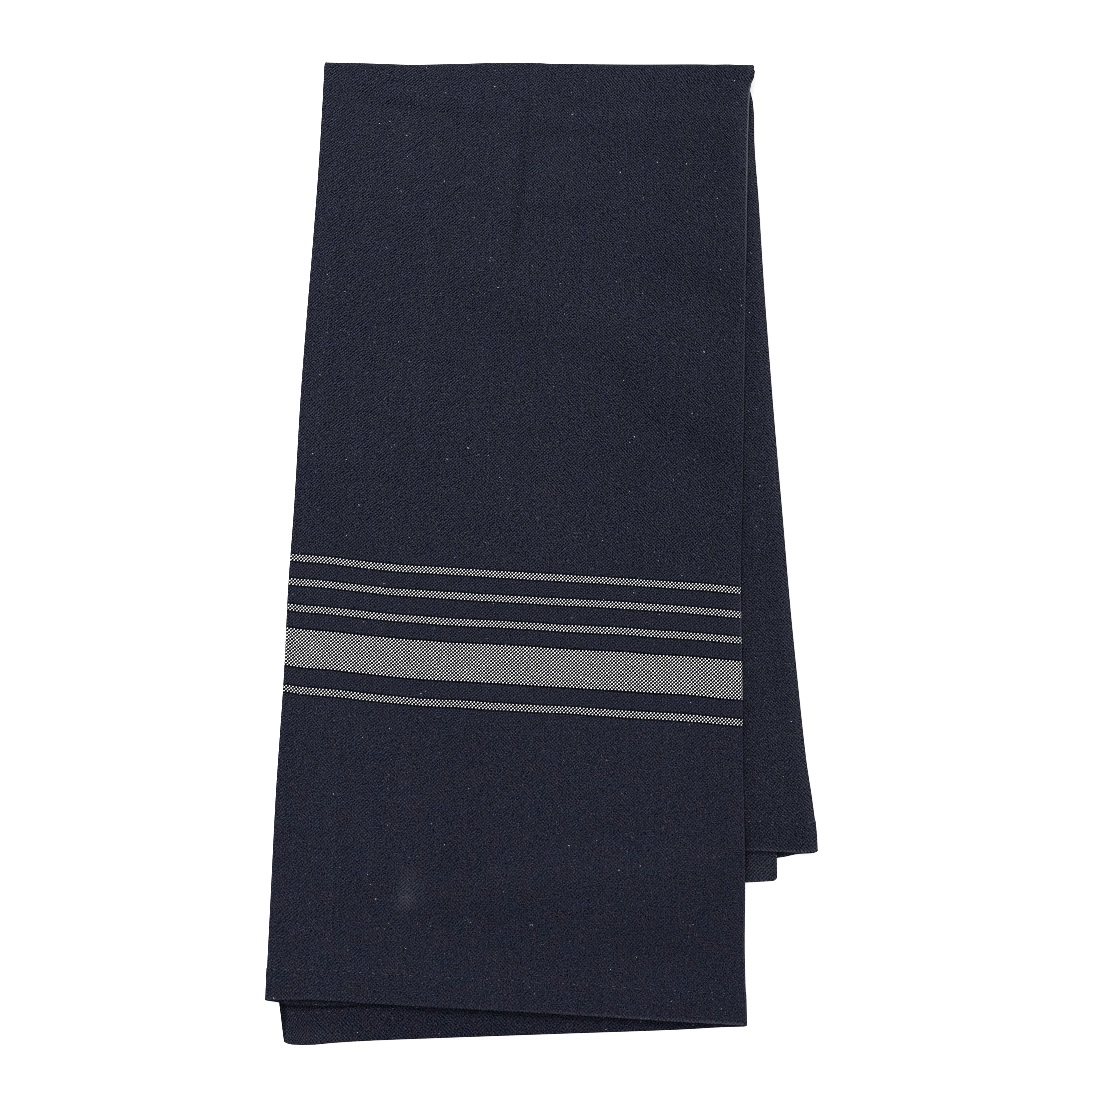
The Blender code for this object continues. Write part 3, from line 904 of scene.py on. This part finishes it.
stitches = {
    "fromEdge": 10.9,  # of the hem
    "fromSelvedge": 4.0,
    "spacing": 4.6,
    "length": 1.1,
    "thread": 0.32,
    "steps": 6,  # along a stitch
    "endShare": 0.02,  # at its ends, of the thread's section
    "rise": (0.0, 0.1),  # of the thread's middle over the cloth: the least and the most
    "sway": 0.4,  # of a stitch along its seam
    "seed": 4,
    "pliesPerStitch": 3,
    "plyShade": 0.25,
    "colour": (0.092, 0.095, 0.122),
    "roughness": 0.7,
    "specular": 0.1,
}


def threadMaterial():
    # plies: bands that wind round the thread, sin(turns along + turns around)
    material, shader, wire = newMaterial("paleNavyThread", stitches["roughness"], stitches["specular"])
    u, v, _ = wire.node("ShaderNodeUVMap", {"uv_map": "thread"}).parts("Vector")
    ply = wire.math("SINE", (u * stitches["pliesPerStitch"] + v) * (2 * pi))
    ply = ply * stitches["plyShade"] + (1 - stitches["plyShade"])
    wire.tree.links.new(ply.scaling(stitches["colour"]).socket, shader.inputs["Base Color"])
    return material


def seamLines(grid, faces):
    # points along each hem's seam on both faces, and the way out of the cloth there
    for hemRows in (slice(0, len(grid["hem"]) // 2), slice(None, len(grid["hem"]) // 2, -1)):
        fromHem = grid["hem"][hemRows, 0]
        i = np.searchsorted(fromHem, stitches["fromEdge"])
        t = (stitches["fromEdge"] - fromHem[i - 1]) / (fromHem[i] - fromHem[i - 1])
        upper, under = (face[hemRows][i - 1] * (1 - t) + face[hemRows][i] * t for face in faces)
        yield upper, upper - under
        yield under, under - upper


def buildStitches(grid, faces):
    # Each stitch is a six-sided tube that follows the cloth, with t from -1 to 1 along it. It lies
    # rise - thread * t^2 over the cloth, and its radius is thread / 2 * sqrt(1 - t^4).
    t = np.linspace(-1, 1, stitches["steps"] + 1)
    uneven = np.random.default_rng(stitches["seed"])
    centre, outward = [], []
    for line, away in seamLines(grid, faces):
        length = np.concatenate([[0], np.cumsum(np.linalg.norm(np.diff(line, axis=0), axis=1))])
        margin = stitches["fromSelvedge"]
        start = np.arange(margin, length[-1] - margin, stitches["spacing"])
        start = start + uneven.uniform(-stitches["sway"], stitches["sway"], len(start))
        at = start[:, None] + (t + 1) / 2 * stitches["length"]
        centre.append(np.stack([np.interp(at, length, line[:, k]) for k in range(3)], axis=-1))
        outward.append(np.stack([np.interp(at, length, away[:, k]) for k in range(3)], axis=-1))
    centre, outward = np.concatenate(centre), np.concatenate(outward)
    outward = outward / np.linalg.norm(outward, axis=-1, keepdims=True)
    aside = np.cross(np.gradient(centre, axis=1), outward)
    aside = aside / np.linalg.norm(aside, axis=-1, keepdims=True)
    half = stitches["thread"] / 2
    rise = uneven.uniform(*stitches["rise"], (len(centre), 1, 1))
    centre = centre + outward * (rise - (stitches["thread"] * t ** 2)[:, None])
    radius = half * np.sqrt(np.maximum(1 - t ** 4, stitches["endShare"]))[:, None, None]
    around = np.arange(6) * pi / 3
    ring = np.cos(around)[:, None] * aside[:, :, None] + np.sin(around)[:, None] * outward[:, :, None]
    points = centre[:, :, None] + radius * ring
    points[..., 2] = np.maximum(points[..., 2], 0)

    index = np.arange(points[..., 0].size).reshape(points.shape[:3])
    wrapped = np.concatenate([index, index[:, :, :1]], axis=2)
    sides = [wrapped[:, :-1, :-1], wrapped[:, 1:, :-1], wrapped[:, 1:, 1:], wrapped[:, :-1, 1:]]
    polygons = [np.stack(sides, axis=-1).reshape(-1, 4)]
    for corners in ((0, 1, 2, 3), (0, 3, 4, 5)):
        polygons += [index[:, 0, corners], index[:, -1, corners[::-1]]]
    seam = makeMesh("hemStitches", points.reshape(-1, 3), np.concatenate(polygons), threadMaterial())
    turns = np.stack(np.broadcast_arrays((t + 1)[None, :, None] / 2, around / (2 * pi), index)[:2], axis=-1)
    writeUv(seam.data, "thread", turns.reshape(-1, 2))
    print("stitches:", len(points))
    return seam


towelCloth, clothGrid, clothFaces = buildTowel()
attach(towelCloth, "root")
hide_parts("tea_towel")
hemStitches = buildStitches(clothGrid, clothFaces)
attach(hemStitches, "root")

studio = {
    "floorSize": 20.0,
    "floorRim": (2.0, 2.0),  # beyond it the floor slopes up as a backdrop: run and rise
    "floorColour": (0.95, 0.95, 0.95, 1),
    "floorGlow": 0.45,
    "worldStrength": 0.86,
    "keyPower": 10.3,
    "keyFrom": (-0.32, 0.63, 0.73),
    "keySize": 0.5,
}


def buildFloor():
    # a flat square with a sloping rim all round
    half, (run, rise) = studio["floorSize"] / 2, studio["floorRim"]
    sides = np.array([-half - run, -half, half, half + run]) / mm
    x, y = np.meshgrid(sides, sides)
    z = np.where(np.maximum(abs(x), abs(y)) > half / mm, rise / mm, 0)
    corners = np.stack([x, y, z], axis=-1).reshape(-1, 3)
    material, shader, _ = newMaterial("paleFloor", 1.0)
    for name in ("Base Color", "Emission Color"):
        shader.inputs[name].default_value = studio["floorColour"]
    shader.inputs["Emission Strength"].default_value = studio["floorGlow"]
    index = np.arange(x.size).reshape(x.shape)
    floor = makeMesh("floor", corners, gridQuads(index), material)
    floor.data.shade_flat()


def buildLight():
    world = bpy.data.worlds.new("studio")
    world.use_nodes = True
    background = world.node_tree.nodes["Background"]
    background.inputs["Color"].default_value = (1, 1, 1, 1)
    background.inputs["Strength"].default_value = studio["worldStrength"]
    bpy.context.scene.world = world
    lamp = bpy.data.lights.new("key", "AREA")
    lamp.energy = studio["keyPower"]
    lamp.size = studio["keySize"]
    key = newObject("key", lamp)
    key.location = studio["keyFrom"]
    key.rotation_euler = (-key.location).to_track_quat("-Z", "Y").to_euler()


camera = {
    "tilt": 14,  # degrees from straight above, from the hem's side
    "aim": (2.27, -10.44, 4.0),
    "distance": 763.9,
    "lens": 65,
    "sensor": 36,
}


def buildCamera():
    lens = bpy.data.cameras.new("camera")
    lens.lens = camera["lens"]
    lens.sensor_width = camera["sensor"]
    made = newObject("camera", lens)
    tilt = radians(camera["tilt"])
    x, y, z = camera["aim"]
    away = camera["distance"]
    made.location = (x * mm, (y - away * sin(tilt)) * mm, (z + away * cos(tilt)) * mm)
    made.rotation_euler = (tilt, 0, 0)
    bpy.context.scene.camera = made


buildFloor()
buildLight()
buildCamera()
bpy.context.scene.view_settings.view_transform = "Standard"
cycles = bpy.context.scene.cycles
cycles.use_denoising = False  # it would smooth the weave away
cycles.filter_width = 0.8     # yarns are under two pixels wide
print("floor, light and camera")
